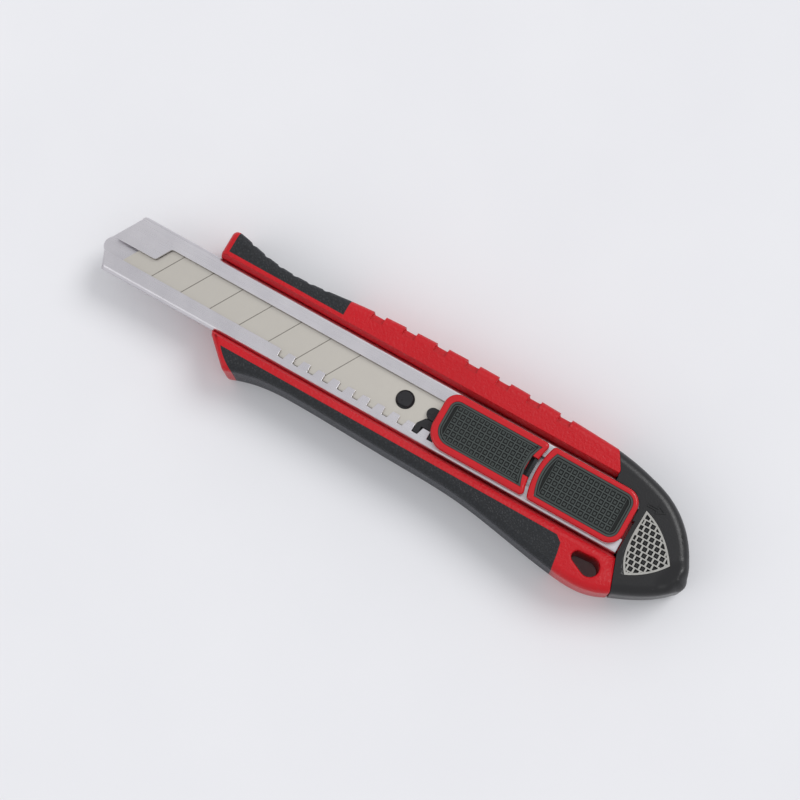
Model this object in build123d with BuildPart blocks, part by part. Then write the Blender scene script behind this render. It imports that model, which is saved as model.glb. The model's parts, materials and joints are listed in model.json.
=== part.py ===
"""Snap-off knife with a steel blade channel, a notched lock and an end cap. Millimetres.

The knife lies on its back: z = 0 is the flat back, +Z points out of the slider side, +X towards
the blade's tip, and +Y is the side of the cutting edge. The origin is on the back, on the
channel's centreline, half way along the knife.
"""

from build123d import *
from math import radians, tan
import os

os.makedirs("parts", exist_ok=True)

# ---- driving dimensions ----------------------------------------------------------------------

# blade
blade_width = 18.0
blade_thickness = 0.5
segment = 10.0  # between two score lines
score_lines = 7
blade_tail = 30.0  # unscored part, with the hole
slant = 60.0  # of the ends and the score lines, from the long edge
score_depth = 0.12
score_width = 0.3
edge_bevel = 2.4  # ground width of the cutting edge
blade_hole_d = 5.7
hole_from_rear = 9.3  # along the centreline

# channel
sheet = 0.8
side_gap = 0.2  # blade to channel wall
channel_height = 3.8
bend_r = 1.4
lip_width = 5.05  # of each lip, from the channel's outside
tip_setback = 5.5  # blade's tip behind the channel's nose
blade_drop = 0.65  # blade below the lips' underside
tab_length = 14.2
tab_drop = 5.0  # how far the tab reaches in from the lip
tab_corner_r = 1.0
notch_pitch = 5.0
notch_depth = 2.4
notch_width = 2.3
notch_lean = 0.8  # how far a notch's tail side leans
notches_ahead = 9  # notches that the pawl can reach
notches_behind = 4  # notches under the slider
mouth_back = 2.4  # cut lips behind the nose
mouth_splay = 2.6  # how much further the finger side's lip is cut back
floor_step = 0.4  # what the mouth's cut leaves over the floor
nose_back = 1.1  # corners of the floor's blunt nose behind its tip
nose_splay = 2.7
channel_gap = 0.3  # channel's rear end to the cap
tooth_play = 0.2  # pawl's tooth to the notch's front side

# handle
handle_height = 17.4
web = 1.0  # between the magazine and the channel
lip_sink = 2.5  # lips below the handle's face
rail_bevel = 1.1
rail_gap = 0.05  # rail to channel
edge_round = 2.4
nose_r = 1.7  # outer corners of both noses
heel_r = 1.0  # their corners beside the channel
upper_nose = 32.9  # behind the channel's nose
lower_nose = 42.8
recess_pitch = 10.3
recess_count = 7
recess_width = 4.0
recess_depth = 0.8
recess_first = 83.0  # behind the channel's nose
scoop_reach = 3.0  # how far a recess runs in over each face
scoop_drop = 2.7
lanyard_r = 2.9  # wide end of the lanyard slot
lanyard_small_r = 1.8
lanyard_reach = 4.3  # between its two ends
lanyard_rise = 0.8
lanyard_h = 6.6  # its wide end's centre, out from the channel's side
lanyard_ahead = 4.7  # its wide end's centre, ahead of the end cap's front
lanyard_rim = 0.7

# grips
wave_pitch = 5.0
wave_first = 7.4  # first groove, behind the upper nose
wave_count = 6
wave_depth = 0.5
wave_r = 1.4
upper_grip_start = 2.1  # behind the upper nose
upper_grip_length = 38.7
upper_grip_h = 2.3  # its lower edge, out from the channel's side
lower_grip_start = 4.2
lower_grip_end = 14.6  # ahead of the end cap's front
lower_grip_h = 3.1
beak_length = 9.4  # of its pointed front
beak_depth = 6.2
core_skin = 1.7  # rubber over the handle's core
core_inset = 2.5

# slider, carrier and pawl
slider_length = 33.0
slider_side = 1.45  # channel's outside to the slider's side
slider_rise = 4.0  # above the lips
slider_lift = 0.15  # clearance above the lips
slider_setback = 1.45  # behind the blade's rear end
slider_bow = 1.5  # of its hollow rear edge
slider_play = 0.8  # each way on the carrier
notch_clear = 0.25  # post to the slider's rear notch, each side
frame_width = 2.0
rim_round = 0.9
corner_round = 1.2
pad_depth = 1.2
pin_d = 5.4
nose_bar_width = 3.8
nose_bar_reach = 1.9  # over the blade's rear edge
run_gap = 0.15  # carrier in the channel
run_chamfer = 0.6  # clears the channel's inner corners
boss_side = 0.65  # lip to boss, each side
spring_wire = 0.3
spring_d = 1.7
spring_turns = 5
post_width = 5.6
boss_ahead = 5.0  # boss behind the slider's front
boss_behind = 6.5  # and ahead of its rear
boss_gap = 0.15  # boss to the slider's hollow, each side
tongue_reach = 7.0  # ahead of the pin
post_thickness = 0.9
post_drop = 0.7  # post's top below the slider's
pin_drop = 0.33  # pin's top below the lips
pin_chamfer = 0.5
seat_gap = 0.03  # blade to the carrier
tooth_length = 1.75
tooth_setback = 6.4  # front tooth behind the pin
tooth_clear = 0.15  # tooth's end to the notch's floor
pawl_length = 19.0  # behind the front tooth's face
pawl_sink = 0.5  # pawl below the lips' underside
pawl_gap = 0.05  # nose bar to the pawl's bed
pawl_arm = 2.4
pawl_root = 2.4  # length of its thick rear end
leaf_wire = 0.2

# rear block
block_gap = 1.0
block_length = 29.0
block_corner_r = 4.6
block_pad_border = 1.55

# end cap
cap_gap = 0.8
cap_joint = 0.15  # handle to cap
cap_length = 21.7
cap_drop = 0.4  # cap's top below the handle's
cap_round = 3.2
cap_tip_y = 8.3
tip_shoulder = 0.5  # the tip's round, ahead of the tail, on the ridged side
tip_under = 1.5  # and on the finger side
corner_gap = 0.35  # to the rear block
plug_depth = 5.0
plug_wall = 1.3
grid_depth = 1.2
grid_inset = 0.05
grid_rows = 11
grid_columns = 8  # each way, before the outline trims them
grid_row_pitch = 1.7
grid_column_pitch = 1.87
grid_step = 0.7
grid_border = 0.55
window_size = 1.35

# magazine
spare_count = 3
spare_gap = 0.05
spare_setback = 2.0  # ahead of the cap's plug
magazine_room = 2.9  # ahead of the spare blades
magazine_floor = 2.2
follower_thickness = 1.2
leaf_thickness = 0.4
leaf_width = 9.0

# ---- stations along the knife ----------------------------------------------------------------

lean = blade_width / 2 / tan(radians(slant))  # half the blade's lengthwise shear
blade_length = segment * score_lines + blade_tail
overall = (
    tip_setback
    + lean
    + blade_length
    + slider_setback
    + slider_length
    + block_gap
    + block_length
    + cap_gap
    + cap_length
)
nose_x = overall / 2
tail_x = -overall / 2
blade_front_x = nose_x - tip_setback - lean  # on the centreline
blade_rear_x = blade_front_x - blade_length
pin_x = blade_rear_x + hole_from_rear
slider_front_x = blade_rear_x - slider_setback
slider_rear_x = slider_front_x - slider_length
block_front_x = slider_rear_x - block_gap
block_rear_x = block_front_x - block_length
cap_front_x = block_rear_x - cap_gap
upper_nose_x = nose_x - upper_nose
lower_nose_x = nose_x - lower_nose

# ---- levels and widths -----------------------------------------------------------------------

channel_half = blade_width / 2 + side_gap + sheet
cap_height = handle_height - cap_drop
lip_z = handle_height - lip_sink  # top of the lips
lip_under_z = lip_z - sheet
channel_z = lip_z - channel_height
floor_z = channel_z + sheet
lip_y = channel_half - lip_width  # edge of each lip
slider_width = 2 * (channel_half - slider_side)
boss_width = 2 * (lip_y - boss_side)
tab_y = tab_drop - lip_y  # edge of the tab
pocket_half = channel_half + rail_gap
magazine_half = blade_width / 2 + 2 * side_gap
magazine_top = channel_z - web
blade_z = lip_under_z - blade_drop - blade_thickness
slider_z = lip_z + slider_lift
slider_top = lip_z + slider_rise
pad_floor = slider_top - pad_depth
hollow_top = pad_floor - 0.7
run_half = channel_half - sheet - run_gap
run_bottom = floor_z + 0.06
run_top = lip_under_z - 0.1


def slanted(x_mid, y):
    """x on a blade-parallel line that crosses the centreline at x_mid."""
    return x_mid + y / tan(radians(slant))


# ---- outlines --------------------------------------------------------------------------------

# where the handle meets the cap, outer ends of the joint
cap_upper_x = cap_front_x + 13.6
cap_upper_h = 7.4
cap_lower_x = cap_front_x - 3.9
cap_lower_h = 10.4
cap_shoulder = 3.3  # its inner end behind the upper one
cap_shoulder_h = 1.9


def joint_line(back):
    """The joint between handle and cap from the ridged side to the finger side, moved back."""
    return [
        (cap_upper_x - back, -channel_half - cap_upper_h),
        (cap_upper_x - cap_shoulder - back, -channel_half - cap_shoulder_h),
        (cap_upper_x - cap_shoulder - back, -pocket_half - back),
        (cap_front_x - back, -pocket_half - back),
        (cap_front_x - back, channel_half - 0.6),
        (cap_lower_x - back, channel_half + cap_lower_h),
    ]


def upper(share, height):
    """A point of the ridged side: share of the way from its nose to the cap, height over the channel."""
    return (upper_nose_x + share * (cap_upper_x - upper_nose_x), -channel_half - height)


def lower(share, height):
    """A point of the finger side, likewise."""
    return (lower_nose_x + share * (cap_lower_x - lower_nose_x), channel_half + height)


upper_line = [
    upper(0.022, 9.0),
    upper(0.08, 7.3),
    upper(0.2, 6.0),
    upper(0.31, 7.3),
    upper(0.45, 8.5),
    upper(0.68, 8.95),
    upper(0.85, 8.4),
    upper(1, cap_upper_h),
]
lower_line = [
    lower(0.09, 7.7),
    lower(0.14, 6.2),
    lower(0.21, 5.7),
    lower(0.32, 6.0),
    lower(0.47, 6.6),
    lower(0.62, 7.4),
    lower(0.76, 10.3),
    lower(0.87, 12.7),
    lower(0.93, 13.2),
    lower(1, cap_lower_h),
]
upper_tip = upper(0, 9.35)
upper_heel = upper(0, 1.2)
lower_toe = lower(0.06, 9.2)
lower_heel = lower(0, 1.5)


with BuildLine() as upper_side:
    Spline(upper_tip, *upper_line)


def upper_side_y(x):
    """Y of the ridged side at x, found by halving."""
    near, far = 0.0, 1.0
    for _ in range(30):
        middle = (near + far) / 2
        if (upper_side.line @ middle).X > x:
            near = middle
        else:
            far = middle
    return (upper_side.line @ near).Y


def handle_outline():
    """Draws the handle's closed outline, seen from above, in the sketch that is open."""
    with BuildLine() as line:
        Polyline(lower_toe, lower_heel, upper_heel, upper_tip)
        Spline(upper_tip, *upper_line)
        Polyline(*joint_line(0))
        Spline(*reversed(lower_line), lower_toe)
    make_face(line.edges())


def blade_outline(front_x, rear_x, half):
    """Draws a blade-shaped parallelogram in the sketch that is open."""
    with BuildLine() as line:
        Polyline(
            (slanted(front_x, half), half),
            (slanted(front_x, -half), -half),
            (slanted(rear_x, -half), -half),
            (slanted(rear_x, half), half),
            close=True,
        )
    make_face(line.edges())


def snap_blade_part(front_x, z):
    """A scored blade with a ground edge, its front on the centreline at front_x and its back at z."""
    rear_x = front_x - blade_length
    with BuildPart() as made:
        with BuildSketch(Plane.XY.offset(z)):
            blade_outline(front_x, rear_x, blade_width / 2)
            with Locations((rear_x + hole_from_rear, 0)):
                Circle(blade_hole_d / 2, mode=Mode.SUBTRACT)
        extrude(amount=blade_thickness)
        # the ground edge, sloped on the upper face
        with BuildSketch(Plane.YZ.offset(rear_x - 2 * lean)):
            with BuildLine():
                Polyline(
                    (blade_width / 2 - edge_bevel, z + blade_thickness),
                    (blade_width / 2, z + 0.1),
                    (blade_width / 2 + 1, z + 0.1),
                    (blade_width / 2 + 1, z + 2 * blade_thickness),
                    (blade_width / 2 - edge_bevel, z + 2 * blade_thickness),
                    close=True,
                )
            make_face()
        extrude(amount=blade_length + 4 * lean, mode=Mode.SUBTRACT)
        # the score lines
        with BuildSketch(Plane.XY.offset(z + blade_thickness - score_depth)):
            for line in range(score_lines):
                line_x = front_x - segment * (line + 1)
                blade_outline(line_x + score_width / 2, line_x - score_width / 2, blade_width)
        extrude(amount=2 * score_depth, mode=Mode.SUBTRACT)
    return made.part


def long_edges(maker, half):
    """The lowest and highest lengthwise edges of a shoe, on both sides."""
    sides = [e for e in maker.edges().filter_by(Axis.X) if abs(abs(e.center().Y) - half) < 0.01]
    levels = ShapeList(sides).group_by(Axis.Z)
    return levels[0] + levels[-1]


def export_piece(part, name):
    part.label = name
    export_step(part, f"parts/{name}.step")


# ---- blade channel ---------------------------------------------------------------------------

travel = notches_ahead * notch_pitch
tooth_x = pin_x - tooth_setback  # front face of the pawl's front tooth
channel_rear_x = cap_front_x + channel_gap
channel_length = nose_x - channel_rear_x
first_notch_x = tooth_x + travel + tooth_play

with BuildPart() as blade_channel:
    with BuildSketch(Plane.YZ.offset(channel_rear_x)):
        with Locations((0, channel_z + channel_height / 2)):
            RectangleRounded(2 * channel_half, channel_height, bend_r)
            RectangleRounded(
                2 * (channel_half - sheet),
                channel_height - 2 * sheet,
                bend_r - sheet,
                mode=Mode.SUBTRACT,
            )
        with Locations((tab_drop / 2, lip_z)):
            Rectangle(2 * lip_y - tab_drop, channel_height, mode=Mode.SUBTRACT)
    extrude(amount=channel_length)
    # the opening between the lips, behind the tab
    tab_rear_x = nose_x - mouth_back - tab_length
    with BuildSketch(Plane.XY.offset(lip_z - 1.5 * sheet)):
        with BuildLine():
            Polyline(
                (slanted(tab_rear_x, tab_y), tab_y),
                (slanted(tab_rear_x, -lip_y), -lip_y),
                (channel_rear_x - 1, -lip_y),
                (channel_rear_x - 1, tab_y + 0.1),
                (slanted(tab_rear_x, tab_y), tab_y + 0.1),
                close=True,
            )
        make_face()
    extrude(amount=3 * sheet, mode=Mode.SUBTRACT)
    # the mouth: both lips are cut back at the blade's slant, the floor keeps a blunt nose
    mouth_x = nose_x - mouth_back
    with BuildSketch(Plane.XY.offset(floor_z + floor_step)):
        with BuildLine():
            Polyline(
                (mouth_x, tab_y),
                (slanted(mouth_x, -channel_half - 1), -channel_half - 1),
                (nose_x + 1, -channel_half - 1),
                (nose_x + 1, channel_half + 1),
                (mouth_x - mouth_splay, channel_half + 1),
                (mouth_x, lip_y),
                close=True,
            )
        make_face()
    extrude(amount=channel_height, mode=Mode.SUBTRACT)
    blunt_x = nose_x - nose_back
    blunt_y = lip_y - 0.4
    with BuildSketch(Plane.XY.offset(channel_z - 1)):
        with BuildLine():
            Polyline(
                (blunt_x, tab_y),
                (slanted(blunt_x, -channel_half - 1), -channel_half - 1),
                (nose_x + 1, -channel_half - 1),
                (nose_x + 1, channel_half + 1),
                (blunt_x - nose_splay, channel_half + 1),
                (blunt_x, blunt_y),
            )
            ThreePointArc((blunt_x, blunt_y), (nose_x, (tab_y + blunt_y) / 2), (blunt_x, tab_y))
        make_face()
    extrude(amount=channel_height + 2, mode=Mode.SUBTRACT)
    # the notches of the lower lip
    with BuildSketch(Plane.XY.offset(lip_z - 1.5 * sheet)):
        for count in range(notches_ahead + 1 + notches_behind):
            front = first_notch_x - count * notch_pitch
            with BuildLine():
                Polyline(
                    (front, lip_y - 0.1),
                    (front, lip_y + notch_depth),
                    (front - notch_width + notch_lean / 2, lip_y + notch_depth),
                    (front - notch_width - notch_lean / 2, lip_y - 0.1),
                    close=True,
                )
            make_face()
    extrude(amount=3 * sheet, mode=Mode.SUBTRACT)
    # rounded corners of the tab and of the opening's front end
    for corner_y in (tab_y, -lip_y):
        corner = (slanted(tab_rear_x, corner_y), corner_y, lip_z - sheet / 2)
        uprights = blade_channel.edges().filter_by(Axis.Z)
        fillet(uprights.sort_by_distance(corner)[0], radius=tab_corner_r)
export_piece(blade_channel.part, "blade_channel")

# ---- blade, carrier, pawl --------------------------------------------------------------------

export_piece(snap_blade_part(blade_front_x, blade_z), "snap_blade")

boss_front_x = slider_front_x - boss_ahead
boss_rear_x = slider_rear_x + boss_behind
bar_front_x = blade_rear_x + nose_bar_reach
carrier_rear_x = slider_rear_x + slider_bow
tongue_front_x = pin_x + tongue_reach
pawl_root_x = tooth_x - pawl_length
pawl_z = lip_under_z - pawl_sink
pawl_bed_y = nose_bar_width / 2 + pawl_gap
pawl_bed_front_x = slider_front_x + 12
flange_z = blade_z - seat_gap

with BuildPart() as blade_carrier:
    # tongue under the blade
    with BuildSketch(Plane.XY.offset(run_bottom)):
        with Locations(((tongue_front_x + carrier_rear_x) / 2, 0)):
            Rectangle(tongue_front_x - carrier_rear_x, 2 * run_half)
    extrude(amount=flange_z - run_bottom)
    # flanges under the lips, behind the blade
    with BuildSketch(Plane.XY.offset(flange_z)):
        with BuildLine():
            Polyline(
                (slanted(blade_rear_x - 0.4, run_half), run_half),
                (slanted(blade_rear_x - 0.4, -run_half), -run_half),
                (carrier_rear_x, -run_half),
                (carrier_rear_x, run_half),
                close=True,
            )
        make_face()
    extrude(amount=run_top - flange_z)
    chamfer(long_edges(blade_carrier, run_half), length=run_chamfer)
    # boss between the lips, inside the slider
    with BuildSketch(Plane.XY.offset(run_top)):
        with Locations(((boss_front_x + boss_rear_x) / 2, 0)):
            Rectangle(boss_front_x - boss_rear_x, boss_width)
    extrude(amount=hollow_top - 0.2 - run_top)
    # rear post, seen in the slider's rear notch
    with BuildSketch(Plane.XY.offset(run_top)):
        with Locations((carrier_rear_x + post_thickness / 2, 0)):
            Rectangle(post_thickness, post_width)
    extrude(amount=slider_top - post_drop - run_top)
    # nose bar on the blade's rear edge
    bar_z = blade_z + blade_thickness + seat_gap
    with BuildSketch(Plane.XY.offset(bar_z)):
        with Locations((bar_front_x - nose_bar_width / 2, 0)):
            Circle(nose_bar_width / 2)
        bar_length = bar_front_x - nose_bar_width / 2 - boss_front_x
        with Locations((boss_front_x + bar_length / 2, 0)):
            Rectangle(bar_length, nose_bar_width)
    extrude(amount=lip_z + 0.05 - bar_z)
    # pin through the blade's hole
    with BuildSketch(Plane.XY.offset(flange_z)):
        with Locations((pin_x, 0)):
            Circle(pin_d / 2)
    extrude(amount=lip_z - pin_drop - flange_z)
    round_edges = blade_carrier.edges().filter_by(GeomType.CIRCLE)
    rims = [edge for edge in round_edges if abs(edge.arc_center.X - pin_x) < 0.1]
    pin_top = max(rims, key=lambda rim: rim.arc_center.Z)
    chamfer(pin_top, length=pin_chamfer)
    # room for the pawl, its arm and its spring
    with BuildSketch(Plane.XY.offset(pawl_z)):
        with Locations(((pawl_bed_front_x + pawl_root_x) / 2, run_half)):
            Rectangle(pawl_bed_front_x - pawl_root_x, 2 * (run_half - pawl_bed_y))
    extrude(amount=handle_height, mode=Mode.SUBTRACT)
export_piece(blade_carrier.part, "blade_carrier")

pawl_top = lip_z
arm_y = lip_y - 0.15
pawl_inner_y = pawl_bed_y + 0.1
with BuildPart() as lock_pawl:
    with BuildSketch(Plane.XY.offset(pawl_z)):
        with BuildLine():
            second_x = tooth_x - notch_pitch
            tooth_y = lip_y + notch_depth - tooth_clear
            Polyline(
                (slanted(blade_rear_x, pawl_inner_y), pawl_inner_y),
                (tooth_x, arm_y - 0.4),
                (tooth_x, tooth_y),
                (tooth_x - tooth_length, tooth_y),
                (tooth_x - tooth_length, arm_y),
                (second_x, arm_y),
                (second_x, tooth_y),
                (second_x - tooth_length, tooth_y),
                (second_x - tooth_length, arm_y),
                (pawl_root_x + pawl_root, arm_y - 0.6),
                (pawl_root_x, arm_y - 0.6),
                (pawl_root_x, pawl_inner_y),
                (pawl_root_x + pawl_root, pawl_inner_y),
                (pawl_root_x + pawl_root + 1, arm_y - pawl_arm + 0.6),
                (second_x - tooth_length, arm_y - pawl_arm),
                (slider_front_x + 0.6, pawl_inner_y),
                close=True,
            )
        make_face()
    extrude(amount=pawl_top - pawl_z)
export_piece(lock_pawl.part, "lock_pawl")

# bent leaf between the carrier's bed and the pawl's arm
with BuildPart() as pawl_spring:
    with BuildSketch(Plane.XY.offset(pawl_z + 0.1)):
        with BuildLine():
            leaf_front = second_x - tooth_length - 1.5
            leaf_rear = pawl_root_x + pawl_root + 2.1
            leaf_y = pawl_bed_y + 0.02
            leaf_bend = 0.2
            Polyline(
                (leaf_rear, leaf_y),
                (leaf_front, leaf_y + leaf_bend),
                (leaf_front, leaf_y + leaf_bend + leaf_wire),
                (leaf_rear, leaf_y + leaf_wire),
                close=True,
            )
        make_face()
    extrude(amount=pawl_top - pawl_z - 0.2)
export_piece(pawl_spring.part, "pawl_spring")

# ---- thumb slider and its pad ----------------------------------------------------------------

hollow_front_x = slider_front_x - frame_width - 0.4
hollow_rear_x = slider_rear_x + slider_bow + frame_width + 0.6
notch_reach = slider_bow + post_thickness + slider_play + 0.2


def slider_outline(inset):
    """The slider seen from above, shrunk all round by inset: round front, hollow rear."""
    front = slider_front_x - inset
    rear = slider_rear_x + inset
    half = slider_width / 2 - inset
    upper_r = 4.2 - inset * 0.8
    lower_r = 6.2 - inset * 0.8
    with BuildLine() as line:
        Line((rear, -half), (front - upper_r, -half))
        CenterArc((front - upper_r, -half + upper_r), upper_r, -90, 90)
        Line((front, -half + upper_r), (front, half - lower_r))
        CenterArc((front - lower_r, half - lower_r), lower_r, 0, 90)
        Line((front - lower_r, half), (rear, half))
        ThreePointArc((rear, half), (rear + slider_bow, 0), (rear, -half))
    make_face(line.edges())


with BuildPart() as thumb_slider:
    with BuildSketch(Plane.XY.offset(slider_z)):
        slider_outline(0)
    extrude(amount=slider_top - slider_z)
    fillet(thumb_slider.edges().filter_by(Axis.Z).group_by(Axis.X)[0], radius=corner_round)
    fillet(thumb_slider.faces().sort_by(Axis.Z)[-1].edges(), radius=rim_round)
    # recess for the pad
    with BuildSketch(Plane.XY.offset(pad_floor)):
        slider_outline(frame_width)
    extrude(amount=2 * pad_depth, mode=Mode.SUBTRACT)
    # hollow for the carrier's boss and the springs
    with BuildSketch(Plane.XY.offset(slider_z - 1)):
        with Locations(((hollow_front_x + hollow_rear_x) / 2, 0)):
            Rectangle(hollow_front_x - hollow_rear_x, boss_width + 2 * boss_gap)
    extrude(amount=hollow_top - slider_z + 1, mode=Mode.SUBTRACT)
    # rear notch around the carrier's post
    with BuildSketch(Plane.XY.offset(slider_z - 1)):
        with Locations((slider_rear_x, 0)):
            Rectangle(2 * notch_reach, post_width + 2 * notch_clear)
    extrude(amount=slider_rise + 2, mode=Mode.SUBTRACT)
export_piece(thumb_slider.part, "thumb_slider")

with BuildPart() as thumb_pad:
    with BuildSketch(Plane.XY.offset(pad_floor)):
        slider_outline(frame_width)
        with Locations((slider_rear_x, 0)):
            Rectangle(2 * notch_reach, post_width + 2 * notch_clear, mode=Mode.SUBTRACT)
    extrude(amount=pad_depth - 0.15)
export_piece(thumb_pad.part, "thumb_pad")


def coil(start_x, length, z):
    """A compression spring along X."""
    with BuildPart() as made:
        with BuildLine() as wire:
            Helix(
                length / spring_turns,
                length,
                (spring_d - spring_wire) / 2,
                center=(start_x, 0, z),
                direction=(1, 0, 0),
            )
        with BuildSketch(Plane(wire.line @ 0, z_dir=wire.line % 0)):
            Circle(spring_wire / 2)
        sweep(path=wire.line, is_frenet=True)
    return made.part


spring_z = (slider_z + hollow_top) / 2
spring_room = hollow_front_x - boss_front_x
export_piece(
    coil(boss_front_x + spring_wire, spring_room - 2 * spring_wire, spring_z), "front_slider_spring"
)
rear_room = boss_rear_x - hollow_rear_x
export_piece(
    coil(hollow_rear_x + spring_wire, rear_room - 2 * spring_wire, spring_z), "rear_slider_spring"
)

# ---- rear block and its pad ------------------------------------------------------------------


def block_outline(inset, mode=Mode.ADD):
    """The rear block seen from above, shrunk all round by inset: bowed front, round rear corners."""
    front = block_front_x - inset
    rear = block_rear_x + inset
    half = slider_width / 2 - inset
    r = block_corner_r - inset
    with BuildLine() as line:
        ThreePointArc((front, -half), (front + slider_bow, 0), (front, half))
        Line((front, half), (rear + r, half))
        CenterArc((rear + r, half - r), r, 90, 90)
        Line((rear, half - r), (rear, -half + r))
        CenterArc((rear + r, -half + r), r, 180, 90)
        Line((rear + r, -half), (front, -half))
    make_face(line.edges(), mode=mode)


shoe_front_x = block_front_x - 1
shoe_rear_x = cap_front_x - 3

with BuildPart() as block_frame:
    with BuildSketch(Plane.XY.offset(slider_z)):
        block_outline(0)
    extrude(amount=slider_top - slider_z)
    fillet(block_frame.edges().filter_by(Axis.Z).group_by(Axis.X)[-1], radius=corner_round)
    fillet(block_frame.faces().sort_by(Axis.Z)[-1].edges(), radius=rim_round)
    with BuildSketch(Plane.XY.offset(pad_floor)):
        block_outline(block_pad_border)
    extrude(amount=2 * pad_depth, mode=Mode.SUBTRACT)

with BuildPart() as rear_block:
    add(block_frame.part)
    # shoe under the lips, which runs back into the cap
    with BuildSketch(Plane.XY.offset(run_bottom)):
        with Locations(((shoe_front_x + shoe_rear_x) / 2, 0)):
            Rectangle(shoe_front_x - shoe_rear_x, 2 * run_half)
    extrude(amount=run_top - run_bottom)
    chamfer(long_edges(rear_block, run_half), length=run_chamfer)
    # foot between the lips
    with BuildSketch(Plane.XY.offset(run_top)):
        with Locations(((block_front_x + block_rear_x) / 2, 0)):
            Rectangle(block_length - 2, 2 * (lip_y - run_gap))
    extrude(amount=slider_z - run_top)
export_piece(rear_block.part, "rear_block")

with BuildPart() as rear_pad:
    with BuildSketch(Plane.XY.offset(pad_floor)):
        block_outline(block_pad_border)
    extrude(amount=pad_depth - 0.15)
export_piece(rear_pad.part, "rear_pad")

# ---- handle body and grips -------------------------------------------------------------------

with BuildPart() as handle_blank:
    with BuildSketch(Plane.XY) as plan:
        handle_outline()
        for corner, radius in (
            (upper_tip, nose_r),
            (lower_toe, nose_r),
            (lower_heel, heel_r),
            (upper_heel, heel_r),
        ):
            fillet(plan.vertices().sort_by_distance(corner)[0], radius=radius)
    extrude(amount=handle_height)
    # every outer edge is rounded, from one end of the cap's joint round the nose to the other
    outer_edges = [
        edge
        for edge in handle_blank.edges()
        if abs(edge.center().Z - handle_height / 2) > handle_height / 2 - 0.1
        and (edge.geom_type != GeomType.LINE or edge.position_at(0.5).X > lower_nose_x - 15)
    ]
    fillet(outer_edges, radius=edge_round)
    # pocket for the channel, with sloped rails above it
    with BuildSketch(Plane.YZ.offset(tail_x)):
        with BuildLine():
            Polyline(
                (-pocket_half, channel_z),
                (pocket_half, channel_z),
                (pocket_half, lip_z - 0.3),
                (pocket_half + rail_bevel, handle_height + 0.01),
                (-pocket_half - rail_bevel, handle_height + 0.01),
                (-pocket_half, lip_z - 0.3),
                close=True,
            )
        make_face()
    extrude(amount=overall, mode=Mode.SUBTRACT)

upper_grip_x = upper_nose_x - upper_grip_start
lower_grip_x = lower_nose_x - lower_grip_start
lower_grip_rear = cap_front_x + lower_grip_end


def upper_grip_region():
    """The front rubber's region, seen from above."""
    with Locations((upper_grip_x - upper_grip_length / 2, -channel_half - upper_grip_h - 8)):
        Rectangle(upper_grip_length, 16)


def lower_grip_region():
    """The finger side's rubber: a beak in front, a leaning end at the rear."""
    top = channel_half + lower_grip_h
    with BuildLine() as line:
        Polyline(
            (lower_grip_x, top),
            (lower_grip_rear + 2.6, top),
            (lower_grip_rear + 0.6, top + 1.6),
            (lower_grip_rear, top + 4.5),
            (lower_grip_rear - 1.4, top + 14),
            (lower_grip_x - beak_length, top + 14),
            (lower_grip_x - beak_length, top + beak_depth),
        )
        Spline(
            (lower_grip_x - beak_length, top + beak_depth),
            (lower_grip_x - 0.4 * beak_length, top + 0.56 * beak_depth),
            (lower_grip_x, top),
        )
    make_face(line.edges())


def grip_tool(region, core_from, core_to, side, core_h):
    """The space that a grip fills: its region right through, less the tongue of handle inside it."""
    with BuildPart() as made:
        with BuildSketch(Plane.XY.offset(-1)):
            region()
        extrude(amount=handle_height + 2)
        with Locations(
            (
                (core_from + core_to) / 2,
                side * (channel_half + core_h) / 2,
                handle_height / 2,
            )
        ):
            Box(
                abs(core_from - core_to),
                channel_half + core_h,
                handle_height - 2 * (core_skin + core_inset),
                mode=Mode.SUBTRACT,
            )
    return made.part


upper_tool = grip_tool(
    upper_grip_region,
    upper_grip_x - core_inset,
    upper_grip_x - upper_grip_length + core_inset,
    -1,
    upper_grip_h + 1.9,
)
lower_tool = grip_tool(
    lower_grip_region,
    lower_grip_x - 11,
    lower_grip_rear + core_inset,
    1,
    lower_grip_h + 1.2,
)

with BuildPart() as upper_grip:
    add(handle_blank.part)
    add(upper_tool, mode=Mode.INTERSECT)
    # grooves of the thumb rest
    for count in range(wave_count):
        wave_x = upper_nose_x - wave_first - count * wave_pitch
        with BuildSketch(Plane.XY.offset(-1)):
            with Locations((wave_x, upper_side_y(wave_x) + wave_depth - wave_r)):
                Circle(wave_r)
        extrude(amount=handle_height + 2, mode=Mode.SUBTRACT)
export_piece(upper_grip.part, "upper_grip")

with BuildPart() as lower_grip:
    add(handle_blank.part)
    add(lower_tool, mode=Mode.INTERSECT)
export_piece(lower_grip.part, "lower_grip")

lanyard_x = cap_front_x + lanyard_ahead
lanyard_y = channel_half + lanyard_h
spare_rear_x = cap_front_x + plug_depth + spare_setback + lean
spare_front_x = spare_rear_x + blade_length
magazine_front_x = spare_front_x + lean + magazine_room

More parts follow.
